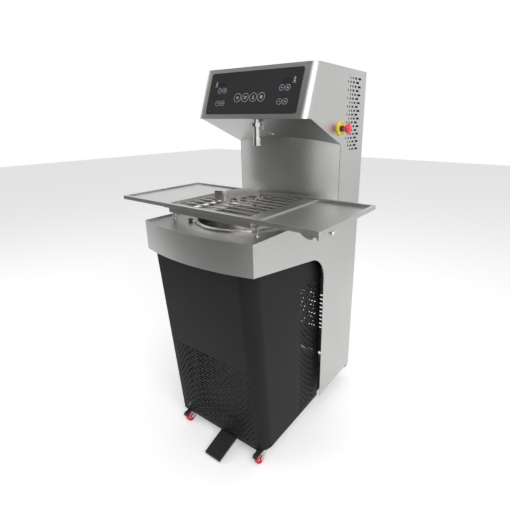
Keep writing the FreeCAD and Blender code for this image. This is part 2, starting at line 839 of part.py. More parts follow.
def coil(name, at, radius, wire, pitch, length, direction=ALONG_Z):
    """A helical spring; its wire has a six-sided section of the given radius."""
    helix = doc.addObject("Part::Helix", name + "_helix")
    bind(helix, "Radius", radius)
    bind(helix, "Pitch", pitch)
    bind(helix, "Height", length)
    section = doc.addObject("Part::RegularPolygon", name + "_section")
    section.Polygon = 6
    bind(section, "Circumradius", wire)
    place(section, (radius, 0, 0), X_AXIS, 90)
    spring = doc.addObject("Part::Sweep", name)
    spring.Sections = [section]
    spring.Spine = (helix, ["Edge1"])
    spring.Solid = True
    spring.Frenet = True
    return place(spring, at, *direction)


pedal_wire = size("pedal_spring_wire", 1.2)
node(coil("pedal_coil", (pedal_x - 9, pedal_pivot_y, pedal_pivot_z),
          pedal_pin + pedal_wire + 0.5, pedal_wire, 4, dim(18), ALONG_X), "pedal_spring")


# ---------------------------------------------------------------- bowl, mixer and its drive

bowl_wall = size("bowl_wall", 3)
bowl_rim = size("bowl_rim_width", 12)
bowl_depth = size("bowl_depth", 200)
bowl_bend = size("bowl_bend_radius", 72)
shaft_radius = size("mixer_shaft_radius", 10)
outlet_back = size("bowl_outlet_from_centre", 92)
pipe_radius = size("pipe_radius", 11)
pipe_bore = size("pipe_bore_radius", 8.5)
bowl_low = deck_height - bowl_depth
rim_radius = bowl_radius + bowl_rim
bowl_inside = bowl_radius - bowl_wall

bowl_turn = turned("bowl_turn", [
    (rim_radius, deck_top), (rim_radius, deck_height - 2), (rim_radius - 2, deck_height),
    (bowl_inside, deck_height), (bowl_inside, bowl_low, bowl_bend - bowl_wall),
    (shaft_radius + running, bowl_low), (shaft_radius + running, bowl_low - bowl_wall),
    (bowl_radius, bowl_low - bowl_wall, bowl_bend), (bowl_radius, deck_top)],
    (process_x, bowl_y, 0))
bowl_port = rod("bowl_port", (process_x, bowl_y + outlet_back, bowl_low - 20), pipe_bore, 40)
node(cut("bowl_ported", bowl_turn, bowl_port), "bowl")

knob_radius = rim_radius + size("bowl_knob_gap", 12)
bowl_knobs = []
for around in (-128, 60, 120):
    x = process_x + knob_radius * math.cos(math.radians(around))
    y = bowl_y + knob_radius * math.sin(math.radians(around))
    bowl_knobs.append(turned("bowl_knob", [
        (0, 0), (9, 0), (9, 2), (5, 4), (5, 8), (9, 9, 2), (9, 15, 3), (0, 15)],
        (x, y, deck_top)))
node(group("knobs", *bowl_knobs), "bowl_knobs")

paddle_gap = size("paddle_clearance", 4)
blade = size("paddle_blade_thickness", 5)
blade_height = size("paddle_blade_height", 26)
blade_low = bowl_low + paddle_gap
blade_out = bowl_inside - paddle_gap
long_blade = plate("long_blade", "XZ", 0, [[
    (0, blade_low), (blade_out, blade_low, bowl_bend - bowl_wall - paddle_gap),
    (blade_out, deck_height - 35), (blade_out - blade_height, deck_height - 35, 8),
    (blade_out - blade_height, blade_low + blade_height, 40), (0, blade_low + blade_height)]],
    blade, symmetric=True)
short_blade = plate("short_blade", "XZ", 0, [[
    (0, blade_low), (-blade_out + bowl_bend, blade_low, 6),
    (-blade_out + bowl_bend - 10, blade_low + blade_height, 6), (0, blade_low + blade_height)]],
    blade, symmetric=True)
mixer_shaft = turned("mixer_shaft", [
    (0, bowl_low - 14), (shaft_radius, bowl_low - 14), (shaft_radius, blade_low),
    (24, blade_low), (24, blade_low + 12), (16, blade_low + 34, 6), (8, blade_low + 46, 5),
    (0, blade_low + 46)])
node(place(fuse("mixer", mixer_shaft, long_blade, short_blade), (process_x, bowl_y, 0)),
     "mixer_paddle")

mixer_top = bowl_low - 14 - fit
mixer_box = block("mixer_box", process_x, bowl_y, mixer_top - 62, dim(92), dim(92), dim(62))
mixer_motor = rod("mixer_motor", (process_x, bowl_y, mixer_top - 200), dim(44), dim(140))
node(fuse("mixer_drive", mixer_box, mixer_motor), "mixer_gearmotor")


# ---------------------------------------------------------------- tempering screw and pipes

auger_y = back - size("auger_from_back", 111)
auger_low = size("auger_bottom", 700)
auger_high = height - size("auger_top_below_roof", 150)
auger_inside = size("auger_bore_radius", 26.5)
jacket_radius = size("jacket_radius", 40)
screw_core_radius = size("auger_core_radius", 12)
feed_z = auger_low + 26
delivery_z = low_z + 13

jacket = turned("jacket", [
    (0, auger_low), (jacket_radius, auger_low), (jacket_radius, auger_high),
    (screw_core_radius + running, auger_high),
    (screw_core_radius + running, auger_high - 6), (auger_inside, auger_high - 6),
    (auger_inside, auger_low + 6), (0, auger_low + 6)], (process_x, auger_y, 0))
ports = [rod("port", (process_x, auger_y - jacket_radius - 5, z), pipe_bore, 30, ALONG_Y)
         for z in (feed_z, delivery_z)]
node(cut("jacket_ported", jacket, *ports), "auger_tube")

screw_core = rod("screw_core", (process_x, auger_y, auger_low + 6 + fit), screw_core_radius,
                 auger_high - auger_low - 5)
flight_pitch = size("auger_pitch", 64)
flight_turns = size("auger_turns", 9)
flight_helix = doc.addObject("Part::Helix", "flight_helix")
bind(flight_helix, "Radius", screw_core_radius - 1)
bind(flight_helix, "Pitch", flight_pitch)
bind(flight_helix, "Height", flight_pitch * flight_turns)
flight_section = doc.addObject("Part::Plane", "flight_section")
bind(flight_section, "Length", auger_inside - running - screw_core_radius + 1)
bind(flight_section, "Width", dim(4))
place(flight_section, (screw_core_radius - 1, 0, 0), X_AXIS, 90)
flight = doc.addObject("Part::Sweep", "flight")
flight.Sections = [flight_section]
flight.Spine = (flight_helix, ["Edge1"])
flight.Solid = True
flight.Frenet = True
place(flight, (process_x, auger_y, auger_low + 14))
node(fuse("screw", screw_core, flight), "auger_screw")

drive_low = auger_high + 2 + fit
screw_box = block("screw_box", process_x, auger_y, drive_low, dim(96), dim(96), dim(44))
screw_motor = rod("screw_motor", (process_x, auger_y, drive_low + 44), dim(42), dim(88))
node(fuse("screw_drive", screw_box, screw_motor), "auger_gearmotor")


def bent_pipe(name, points, bend, outside, bore):
    """A pipe along straight runs joined by tangent bends of one radius."""
    edges = []
    start = points[0]
    for last, corner, after in zip(points, points[1:], points[2:]):
        back_way = (last - corner).normalize()
        next_way = (after - corner).normalize()
        reach = bend / math.tan(back_way.getAngle(next_way) / 2)
        inward = (back_way + next_way).normalize()
        middle = corner + inward * (math.hypot(reach, bend) - bend)
        edges.append(Part.makeLine(start, corner + back_way * reach))
        edges.append(Part.Arc(corner + back_way * reach, middle,
                              corner + next_way * reach).toShape())
        start = corner + next_way * reach
    edges.append(Part.makeLine(start, points[-1]))
    path = Part.Wire(edges)
    way = (points[1] - points[0]).normalize()
    skins = []
    for radius in (outside, bore):
        ring = Part.Wire([Part.makeCircle(radius, points[0], way)])
        skins.append(path.makePipeShell([ring], True, False))
    pipe = doc.addObject("Part::Feature", name)
    pipe.Shape = skins[0].cut(skins[1])
    return pipe


px, by, ay = process_x.value, bowl_y.value, auger_y.value
port_y = by + outlet_back.value
feed = bent_pipe("feed", [
    Vector(px, port_y, bowl_low.value - bowl_wall.value), Vector(px, port_y, feed_z.value),
    Vector(px, ay - jacket_radius.value, feed_z.value)],
    18, pipe_radius.value, pipe_bore.value)
node(feed, "feed_pipe")


# ---------------------------------------------------------------- spout and its clamp

joint_z = low_z - size("spout_joint_drop", 21)
flange_radius = size("ferrule_radius", 16)
flange_thick = size("ferrule_thickness", 3)
gasket_thick = size("gasket_thickness", 1)
spout_length = size("spout_length", 75)
spout_radius = size("spout_radius", 12)
collar_radius = size("spout_collar_radius", 15.3)
gasket_low = joint_z - gasket_thick / 2
ferrule_low = joint_z + gasket_thick / 2
ferrule_high = flange_thick + (flange_radius - pipe_radius) / 3
neck_high = flange_thick + (flange_radius - spout_radius) / 3

sy = spout_y.value
delivery_run = bent_pipe("delivery_run", [
    Vector(px, ay - jacket_radius.value, delivery_z.value), Vector(px, sy, delivery_z.value),
    Vector(px, sy, ferrule_low.value)], 16, pipe_radius.value, pipe_bore.value)
ferrule = turned("ferrule", [
    (pipe_bore, ferrule_low), (flange_radius, ferrule_low),
    (flange_radius, ferrule_low + flange_thick), (pipe_radius, ferrule_low + ferrule_high),
    (pipe_bore, ferrule_low + ferrule_high)], (process_x, spout_y, 0))
node(fuse("delivery", delivery_run, ferrule), "delivery_pipe")
node(turned("gasket", [
    (pipe_bore, gasket_low), (flange_radius - 1, gasket_low),
    (flange_radius - 1, ferrule_low), (pipe_bore, ferrule_low)],
    (process_x, spout_y, 0)), "spout_gasket")
spout_low = gasket_low - spout_length
collar_z = spout_low + 19
node(turned("spout_turn", [
    (pipe_bore, gasket_low), (flange_radius, gasket_low),
    (flange_radius, gasket_low - flange_thick), (spout_radius, gasket_low - neck_high),
    (spout_radius, collar_z + 10), (collar_radius, collar_z + 9), (collar_radius, collar_z),
    (spout_radius + 0.5, collar_z), (spout_radius + 0.5, spout_low + 6),
    (collar_radius, spout_low + 6), (collar_radius, spout_low), (pipe_bore, spout_low)],
    (process_x, spout_y, 0)), "spout")

clamp_outside = size("clamp_radius", 20)
clamp_half = size("clamp_half_height", 7)
hinge_radius = size("clamp_pin_radius", 2)
hinge_x = -clamp_outside - 5
knuckle = hinge_radius + 2.5
groove = flange_radius + fit
groove_half = flange_thick + gasket_thick / 2 + fit
clamp_bore = pipe_radius + 1.5
groove_mouth = groove_half + (groove - clamp_bore) / 3
split = size("clamp_split", 1)


def clamp_piece(name, sign, knuckles):
    """Half of the grooved ring with its hinge knuckles and its ear."""
    ring = turned(name + "_ring", [
        (clamp_bore, -clamp_half), (clamp_outside, -clamp_half),
        (clamp_outside, clamp_half), (clamp_bore, clamp_half),
        (clamp_bore, groove_mouth), (groove, groove_half), (groove, -groove_half),
        (clamp_bore, -groove_mouth)])
    reach = clamp_outside * 2
    low_y_side = split / 2 if sign > 0 else -reach
    keep = box(name + "_keep", (-reach, low_y_side, -clamp_half * 2), reach * 2,
               reach - split / 2, clamp_half * 4)
    half_ring = doc.addObject("Part::Common", name + "_half")
    half_ring.Base = ring
    half_ring.Tool = keep
    ear_low = split / 2 if sign > 0 else -split / 2 - 4
    ear = box(name + "_ear", (clamp_outside - 1, ear_low, -clamp_half + 2), dim(9), dim(4),
              clamp_half * 2 - 4)
    shapes = [half_ring, ear]
    for low, high in knuckles:
        shapes.append(rod(name + "_knuckle", (hinge_x, 0, low), knuckle, high - low))
        web_y = split / 2 if sign > 0 else -split / 2 - 3
        shapes.append(box(name + "_web", (hinge_x, web_y, low), -hinge_x - clamp_outside + 2,
                          dim(3), high - low))
    bore = rod(name + "_bore", (hinge_x, 0, -clamp_half * 2),
               hinge_radius + (0 if sign > 0 else running), clamp_half * 4)
    solid = cut(name, fuse(name + "_solid", *shapes), bore)
    return place(solid, (process_x, spout_y, joint_z))


node(clamp_piece("clamp_back", 1, [(dim(-2.5), dim(2.5))]), "clamp_rear_half")
node(clamp_piece("clamp_fore", -1, [(-clamp_half, dim(-2.8)), (dim(2.8), clamp_half)]),
     "clamp_front_half")
node(rod("hinge_pin", (process_x + hinge_x, spout_y, joint_z - clamp_half - 1), hinge_radius,
         clamp_half * 2 + 2), "clamp_pin")

eye_x = clamp_outside + 4
arm_turn = size("lever_arm_slope", 15)
eye = rod("eye", (eye_x, split / 2 + 4.3, 0), dim(4), dim(4), ALONG_Y)
eye_pin = rod("eye_pin", (eye_x, split / 2 + 4, 0), dim(1.5), dim(5), ALONG_Y)
link = rod("link", (eye_x, split / 2 + 6.3, -20), dim(1.6), dim(20))
arm = rod("arm", (eye_x, split / 2 + 6.3, -19), dim(1.6), dim(42))
place(arm, (eye_x, split / 2 + 6.3, -19), Y_AXIS, 90 + arm_turn)
wing = doc.addObject("Part::Ellipsoid", "wing")
bind(wing, "Radius1", 4)
bind(wing, "Radius2", 9)
bind(wing, "Radius3", 6)
wing_out = 44
place(wing, (eye_x + wing_out * cosine(arm_turn), split / 2 + 6.3,
             -19 - wing_out * sine(arm_turn)), Y_AXIS, arm_turn)
node(place(fuse("lever", eye, eye_pin, link, arm, wing), (process_x, spout_y, joint_z)),
     "clamp_lever")


# ---------------------------------------------------------------- vibrating table

table_length = size("table_length", 918)
table_width = size("table_width", 411)
table_front = front + size("table_setback", 83)
rim_top = size("table_height", 1021)
rim_height = size("table_rim_height", 14)
rim_wide = size("table_rim_width", 12)
tray_sheet = size("tray_thickness", 2)
left_sink = size("left_tray_depth", 6)
right_sink = size("right_tray_depth", 11)
grid_left = size("grid_left_from_middle", 209)
grid_right = size("grid_right_from_middle", 172)
band_right = size("ledge_from_middle", 224)
table_low = rim_top - rim_height
table_half = table_length / 2
table_back = table_front + table_width
well_front = table_front + rim_wide
well_back = table_back - rim_wide


def rectangle(left, right, low, high):
    return [(left, low), (right, low), (right, high), (left, high)]


tray = new_body("tray_sheet")
pad(tray, new_sketch(tray, "XY", table_low, [[
    (-table_half, table_front, 6), (table_half, table_front, 6), (table_half, table_back, 6),
    (-table_half, table_back, 6)]]), rim_height)
pocket(tray, new_sketch(tray, "XY", rim_top, [
    rectangle(-table_half + rim_wide, band_right, well_front, well_back)]), left_sink)
pocket(tray, new_sketch(tray, "XY", rim_top, [
    rectangle(band_right, table_half - rim_wide, well_front, well_back)]), right_sink)
pocket(tray, new_sketch(tray, "XY", rim_top, [
    rectangle(-grid_left, grid_right, well_front, well_back)]), rim_height + 1)
pocket(tray, new_sketch(tray, "XY", table_low, [
    rectangle(-table_half + tray_sheet, -grid_left - tray_sheet, table_front + tray_sheet,
              table_back - tray_sheet)]),
    rim_height - left_sink - tray_sheet, reverse=True)
hook_x = size("hook_from_middle", 392)
hook = plate("hook", "XZ", -(table_front + 3), [[
    (hook_x, table_low + 1), (hook_x + 14, table_low - 10, 8), (hook_x + 28, table_low - 15, 5),
    (hook_x + 42, table_low - 14, 4), (hook_x + 47, table_low - 5, 4),
    (hook_x + 55, table_low - 6, 2), (hook_x + 58, table_low - 13),
    (hook_x + 62, table_low - 13), (hook_x + 62, table_low + 1)]], 3)
knob_x = table_half - size("table_knob_from_end", 30)
knob_y = table_front + size("table_knob_setback", 90)
knob_z = table_low - size("table_knob_drop", 12)
knob_stud = size("table_knob_stud_radius", 3)
knob_lug = block("knob_lug", knob_x, knob_y, knob_z - 8, dim(6), dim(18),
                 table_low - knob_z + 9)
knob_bore = rod("knob_bore", (knob_x - 10, knob_y, knob_z), knob_stud + running, dim(20),
                ALONG_X)
node(cut("tray_bored", fuse("tray_whole", tray, hook, knob_lug), knob_bore), "tray")
node(turned("table_knob_turn", [
    (0, -8), (knob_stud, -8), (knob_stud, 8), (5, 9), (8, 13, 2), (8, 25, 3), (5, 28),
    (0, 28)], (knob_x, knob_y, knob_z), ALONG_X), "table_knob")

# the carrier ring under the tray, with lugs that sit on the springs
carrier_half = size("carrier_half_width", 197)
carrier_sheet = size("carrier_thickness", 3)
carrier_low = size("carrier_bottom", 984)
carrier_setback = size("carrier_setback", 17)
carrier_front = table_front + carrier_setback
carrier_back = table_back - carrier_setback
flange_out = carrier_setback - 4
ledge_top = table_low - 7
spring_x = size("spring_from_middle", 200)
spring_front = table_front + 45
spring_rear = table_back - 48
lug = size("spring_lug_size", 28)

ring = plate("ring", "XY", carrier_low, [
    rectangle(-carrier_half, carrier_half, carrier_front, carrier_back),
    rectangle(-carrier_half + carrier_sheet, carrier_half - carrier_sheet,
              carrier_front + carrier_sheet, carrier_back - carrier_sheet)],
    table_low - carrier_low)
rim = plate("rim", "XY", table_low - carrier_sheet, [
    rectangle(-carrier_half - flange_out, carrier_half + flange_out,
              carrier_front - flange_out, carrier_back + flange_out),
    rectangle(-carrier_half + carrier_sheet, carrier_half - carrier_sheet,
              carrier_front + carrier_sheet, carrier_back - carrier_sheet)],
    carrier_sheet)
lugs = [block("lug", x, y, carrier_low, lug, lug, carrier_sheet)
        for x in (-spring_x, spring_x) for y in (spring_front, spring_rear)]
ledges = [box("ledge", (-carrier_half + 1, y, ledge_top - 2), carrier_half * 2 - 2, dim(16),
              dim(2)) for y in (carrier_front + 1, carrier_back - 17)]
node(fuse("carrier", ring, rim, *lugs, *ledges), "table_carrier")

spring_radius = size("table_spring_radius", 7)
spring_wire = size("table_spring_wire", 1.3)
cup = size("spring_cup_height", 3)
stud_radius = size("spring_stud_radius", 4)
springs = []
studs = []
for x in (-spring_x, spring_x):
    for y in (spring_front, spring_rear):
        low = deck_top + cup
        springs.append(coil("table_coil", (x, y, low + spring_wire), spring_radius, spring_wire,
                            5.2, carrier_low - low - spring_wire * 2 - 0.3))
        studs.append(turned("stud", [
            (0, deck_top), (11, deck_top), (11, low), (stud_radius, low),
            (stud_radius, carrier_low - 8), (stud_radius - 1, carrier_low - 7),
            (0, carrier_low - 7)], (x, y, 0)))
node(group("springs", *springs), "table_springs")
node(group("studs", *studs), "spring_studs")

shaker_radius = size("vibrator_radius", 16)
shaker_z = table_low - 27
shaker_y = carrier_back - 30
shaker = turned("shaker", [
    (0, 0), (shaker_radius - 3, 0), (shaker_radius, 3), (shaker_radius, 57),
    (shaker_radius - 3, 60), (0, 60)], (-spring_x + 20, shaker_y, shaker_z), ALONG_X)
shaker_foot = box("shaker_foot", (-spring_x + 32, shaker_y + 6, shaker_z - 8), dim(36),
                  carrier_back - carrier_sheet - shaker_y - 6, dim(14))
node(fuse("vibrator", shaker, shaker_foot), "vibration_motor")

# grate: wires laid across three bars that rest on the carrier's ledges
wire_count = 9
wire_radius = size("grate_wire_radius", 2.5)
bar_radius = size("grate_bar_radius", 3)
wire_pitch = size("grate_wire_pitch", 42)
grate_left = -carrier_half + carrier_sheet + 4
grate_right = grid_right - 9
bar_z = ledge_top + bar_radius + 0.1
wire_z = bar_z + bar_radius + wire_radius
grate_middle = table_front + table_width / 2 + 13
bar_start = carrier_front + carrier_sheet + 1
bar_length = carrier_back - carrier_sheet - 1 - bar_start
wires = []
for i in range(wire_count):
    y = grate_middle + (i - (wire_count - 1) / 2) * wire_pitch
    wires.append(rod("wire", (grate_left, y, wire_z), wire_radius, grate_right - grate_left,
                     ALONG_X))
bars = [rod("bar", (x, bar_start, bar_z), bar_radius, bar_length, ALONG_Y)
        for x in (grate_left + 12, (grate_left + grate_right) / 2, grate_right - 12)]
node(group("grate_wires", *wires, *bars), "grate")

# guard beside the stream: a bent plate with a short wing, standing on four feet
guard_sheet = size("guard_thickness", 2)
guard_low = wire_z + wire_radius
guard_height = size("guard_height", 46)
guard_x = process_x - size("guard_from_stream", 106)
guard_y = spout_y - size("guard_wing_ahead", 133)
wing_x, wing_y = guard_x + 38, guard_y + 12
end_x, end_y = wing_x + 55, wing_y + 147


def along(start, end, way, side=0.0):
    """A point a distance along a line and beside it, as plain numbers."""
    run = (end - start).normalize()
    return start + run * way + Vector(-run.y, run.x, 0) * side


start_point = Vector(guard_x.value, guard_y.value, 0)
bend_point = Vector(wing_x.value, wing_y.value, 0)
end_point = Vector(end_x.value, end_y.value, 0)
first_way = (bend_point - start_point).normalize()
second_way = (end_point - bend_point).normalize()
thick = guard_sheet.value
miter = thick * math.tan(first_way.getAngle(second_way) / 2)
start_side = along(start_point, bend_point, 0, thick)
bend_side = along(bend_point, start_point, miter, -thick)
end_side = along(end_point, bend_point, 0, -thick)
guard_bend = 26
guard = new_body("guard_sheet")
pad(guard, new_sketch(guard, "XY", guard_low, [[
    (start_point.x, start_point.y), (bend_point.x, bend_point.y, guard_bend + thick),
    (end_point.x, end_point.y), (end_side.x, end_side.y),
    (bend_side.x, bend_side.y, guard_bend), (start_side.x, start_side.y)]]), guard_height)


def guard_window(start, end, way, length, rise):
    """A gap between two feet of the guard."""
    turn = math.degrees(math.atan2((end - start).y, (end - start).x))
    corner = along(start, end, way, -10)
    return box("guard_window", (dim(corner.x), dim(corner.y), guard_low - 1), dim(length),
               dim(24), dim(rise + 1), Z_AXIS, dim(turn))


windows = [guard_window(start_point, bend_point, 10, 16, 9),
           guard_window(bend_point, end_point, 24, 32, 14),
           guard_window(bend_point, end_point, 70, 74, 14)]
node(cut("guard", guard, *windows), "stream_guard")


# ---------------------------------------------------------------- emergency stop

neck_radius = size("stop_neck_radius", 11)
neck_out = size("stop_neck_length", 14)
collar_ring = size("stop_collar_radius", 28)
collar_out = size("stop_collar_depth", 6)
button_radius = size("stop_button_radius", 20)
button_travel = size("stop_button_travel", 5)
stem_radius = size("stop_stem_radius", 5)

stop_at = (half, estop_y, estop_z)
button_start = neck_out + button_travel + 1
node(turned("stop_collar_turn", [
    (neck_radius + fit, 0), (collar_ring, 0), (collar_ring, collar_out),
    (collar_ring - 3, collar_out), (collar_ring - 5, 2.5), (neck_radius + fit, 2.5)],
    stop_at, ALONG_X), "stop_collar")
node(turned("stop_neck_turn", [
    (stem_radius + running, -40), (19, -40), (19, -steel), (neck_radius, -steel),
    (neck_radius, neck_out), (stem_radius + running, neck_out)],
    stop_at, ALONG_X), "stop_switch")
node(turned("stop_stem_turn", [
    (0, -30), (stem_radius, -30), (stem_radius, button_start + 4), (0, button_start + 4)],
    stop_at, ALONG_X), "stop_stem")
node(turned("stop_button_turn", [
    (stem_radius, button_start), (neck_radius - 1, button_start),
    (neck_radius + 2, button_start + 3), (button_radius, button_start + 14, 3),
    (button_radius, button_start + 17, 2), (button_radius - 5, button_start + 21, 5),
    (0, button_start + 22),
    (0, button_start + 4), (stem_radius, button_start + 4)],
    stop_at, ALONG_X), "stop_button")


# ---------------------------------------------------------------- cooling unit and inlet

cooler_y = cover_low_y + size("condenser_setback", 70)
cooler_wide = size("condenser_width", 290)
cooler_high = size("condenser_height", 290)
cooler_thick = size("condenser_thickness", 44)
cooler_core = block("cooler_core", dim(0), cooler_y, base_top, cooler_wide, cooler_thick,
                    cooler_high)
cooler_ends = [block("cooler_end", x, cooler_y, base_top, dim(3), cooler_thick + 12,
                     cooler_high + 8) for x in (-cooler_wide / 2, cooler_wide / 2)]
tube_rows = [rod("cooler_tube", (-cooler_wide / 2 - 14, cooler_y + side, base_top + z),
                 dim(4.5), cooler_wide + 28, ALONG_X)
             for z in (40, 110, 180, 250) for side in (-11, 11)]
node(fuse("cooler", cooler_core, *cooler_ends, *tube_rows), "condenser")

shroud_y = cooler_y + cooler_thick / 2 + 8
shroud_thick = size("fan_shroud_depth", 34)
fan_radius = size("fan_radius", 112)
fan_z = base_top + cooler_high / 2
shroud_block = block("shroud_block", dim(0), shroud_y + shroud_thick / 2, base_top,
                     cooler_wide - 10, shroud_thick, cooler_high)
shroud_hole = rod("shroud_hole", (0, shroud_y - 5, fan_z), fan_radius + 4, shroud_thick + 10,
                  ALONG_Y)
fan_motor = rod("fan_motor", (0, shroud_y + shroud_thick - 4, fan_z), dim(34), dim(46), ALONG_Y)
fan_shaft_radius = size("fan_shaft_radius", 5)
fan_bore = rod("fan_bore", (0, shroud_y, fan_z), fan_shaft_radius + running,
               shroud_thick + 12, ALONG_Y)
fan_arm = block("fan_arm", dim(0), shroud_y + shroud_thick + 3, base_top, dim(26), dim(6),
                cooler_high)
shroud_ring = cut("shroud_ring", shroud_block, shroud_hole)
node(cut("shroud", fuse("shroud_whole", shroud_ring, fan_motor, fan_arm), fan_bore),
     "fan_shroud")

hub_radius = size("fan_hub_radius", 34)
hub_length = shroud_thick - 12
blade_pitch = Rotation(X_AXIS, 28)
fan_hub = rod("fan_hub", (0, 0, 0), hub_radius, hub_length)
fan_shaft = rod("fan_shaft", (0, 0, 0), fan_shaft_radius, shroud_thick + 6)
blades = []
for i in range(5):
    blade = box("fan_blade", (0, 0, 0), fan_radius - hub_radius + 4, dim(30), dim(2.5))
    turn = Rotation(Z_AXIS, i * 72)
    corner = Vector(hub_radius.value - 4, -13, hub_length.value / 2 - 8)
    blade.Placement = Placement(turn.multVec(corner), turn.multiply(blade_pitch))
    blades.append(blade)
node(place(fuse("fan", fan_hub, fan_shaft, *blades), (0, shroud_y + 4, fan_z), *ALONG_Y), "fan_rotor")

can_radius = size("compressor_radius", 78)
can_height = size("compressor_height", 185)
node(turned("can", [
    (0, base_top), (can_radius + 14, base_top), (can_radius + 14, base_top + 5),
    (can_radius - 6, base_top + 6), (can_radius - 6, base_top + 30, 12),
    (can_radius, base_top + 60, 20), (can_radius, base_top + can_height, 40),
    (0, base_top + can_height)], (-80, side_y - 20, 0)), "compressor")

socket = block("socket", inlet_x, back - steel - 14, inlet_z - inlet_height / 2,
               inlet_width - fit * 2, dim(28), inlet_height)
socket_flange = block("socket_flange", inlet_x, back - steel - 1.6, inlet_z - inlet_height / 2 - 8,
                      inlet_width + 20, dim(3), inlet_height + 16)
socket_well = block("socket_well", inlet_x, back - 8, inlet_z - 9, inlet_width - 8, dim(20),
                    dim(22))
node(cut("inlet", fuse("inlet_body", socket, socket_flange), socket_well), "power_inlet")


# ---------------------------------------------------------------- check and write

doc.recompute()
for obj in doc.Objects:
    if "Invalid" in obj.State or "Error" in obj.State:
        raise RuntimeError(obj.Name + " failed: " + str(obj.State))
for obj in nodes:
    if obj.Shape.isNull() or not obj.Shape.isValid():
        raise RuntimeError(obj.Label + " has no valid shape")

os.makedirs("parts", exist_ok=True)
for obj in nodes:
    obj.Shape.exportStep("parts/" + obj.Label + ".step")
    box_size = obj.Shape.BoundBox
    print("%-22s %3d solids %9.1f cm3  %s" % (obj.Label, len(obj.Shape.Solids),
                                            obj.Shape.Volume / 1000, box_size))
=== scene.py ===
import math
import bpy
from mathutils import Matrix, Vector


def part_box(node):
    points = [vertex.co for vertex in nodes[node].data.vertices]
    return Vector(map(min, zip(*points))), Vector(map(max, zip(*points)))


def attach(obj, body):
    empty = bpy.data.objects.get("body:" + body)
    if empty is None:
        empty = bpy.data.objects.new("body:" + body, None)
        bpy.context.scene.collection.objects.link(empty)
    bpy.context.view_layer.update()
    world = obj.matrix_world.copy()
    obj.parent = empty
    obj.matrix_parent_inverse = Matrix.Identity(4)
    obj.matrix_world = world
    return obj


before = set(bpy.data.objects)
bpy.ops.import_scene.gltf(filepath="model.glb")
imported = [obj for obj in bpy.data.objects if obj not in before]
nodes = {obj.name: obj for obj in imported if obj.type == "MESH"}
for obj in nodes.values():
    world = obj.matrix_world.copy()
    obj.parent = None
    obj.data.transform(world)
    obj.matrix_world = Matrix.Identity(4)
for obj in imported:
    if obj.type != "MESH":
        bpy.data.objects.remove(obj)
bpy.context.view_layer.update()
corners = ["front_left", "front_right", "rear_left", "rear_right"]
print("frame loaded:", len(nodes), "nodes")


# materials

def startMaterial(name):
    material = bpy.data.materials.new(name)
    material.use_nodes = True
    tree = material.node_tree
    return material, tree, tree.nodes["Principled BSDF"]


def addNode(tree, kind, **values):
    made = tree.nodes.new(kind)
    for key, value in values.items():
        if hasattr(made, key):
            setattr(made, key, value)
        else:
            made.inputs[key].default_value = value
    return made


relief = {"detail": 4.0, "noiseRough": 0.6, "noiseLow": 0.3, "noiseHigh": 0.7, "edge": 0.0008,
          "edgeSamples": 4}


def grain(tree, scale, stretch, detail=relief["detail"]):
    # noise on object coordinates, stretched along the brushing
    coords = addNode(tree, "ShaderNodeTexCoord")
    mapping = addNode(tree, "ShaderNodeMapping")
    mapping.inputs["Scale"].default_value = stretch
    noise = addNode(tree, "ShaderNodeTexNoise", Scale=scale, Detail=detail)
    noise.inputs["Roughness"].default_value = relief["noiseRough"]
    tree.links.new(coords.outputs["Object"], mapping.inputs["Vector"])
    tree.links.new(mapping.outputs["Vector"], noise.inputs["Vector"])
    return noise


def spread(tree, source, low, high):
    ranged = addNode(tree, "ShaderNodeMapRange")
    ranged.inputs["From Min"].default_value = relief["noiseLow"]
    ranged.inputs["From Max"].default_value = relief["noiseHigh"]
    ranged.inputs["To Min"].default_value = low
    ranged.inputs["To Max"].default_value = high
    tree.links.new(source.outputs[0], ranged.inputs["Value"])
    return ranged


def tint(tree, source, dark, light):
    ramp = addNode(tree, "ShaderNodeValToRGB")
    ramp.color_ramp.elements[0].position = relief["noiseLow"]
    ramp.color_ramp.elements[0].color = (*dark, 1)
    ramp.color_ramp.elements[1].position = relief["noiseHigh"]
    ramp.color_ramp.elements[1].color = (*light, 1)
    tree.links.new(source.outputs[0], ramp.inputs["Fac"])
    return ramp


def skin(tree, shader, source, strength, distance):
    # fine relief, and edges that catch the light as rounded ones do
    rounded = addNode(tree, "ShaderNodeBevel", samples=relief["edgeSamples"])
    rounded.inputs["Radius"].default_value = relief["edge"]
    bump = addNode(tree, "ShaderNodeBump")
    bump.inputs["Strength"].default_value = strength
    bump.inputs["Distance"].default_value = distance
    tree.links.new(source.outputs[0], bump.inputs["Height"])
    tree.links.new(rounded.outputs["Normal"], bump.inputs["Normal"])
    tree.links.new(bump.outputs["Normal"], shader.inputs["Normal"])


brushed = {"dark": (0.50, 0.50, 0.49), "light": (0.60, 0.60, 0.59), "rough": 0.36,
           "roughSpread": 0.05, "scale": 60.0, "depth": 0.00006, "strength": 0.35,
           "cloudScale": 3.0, "cloudDetail": 2.0, "cloudDark": (0.93, 0.93, 0.93)}


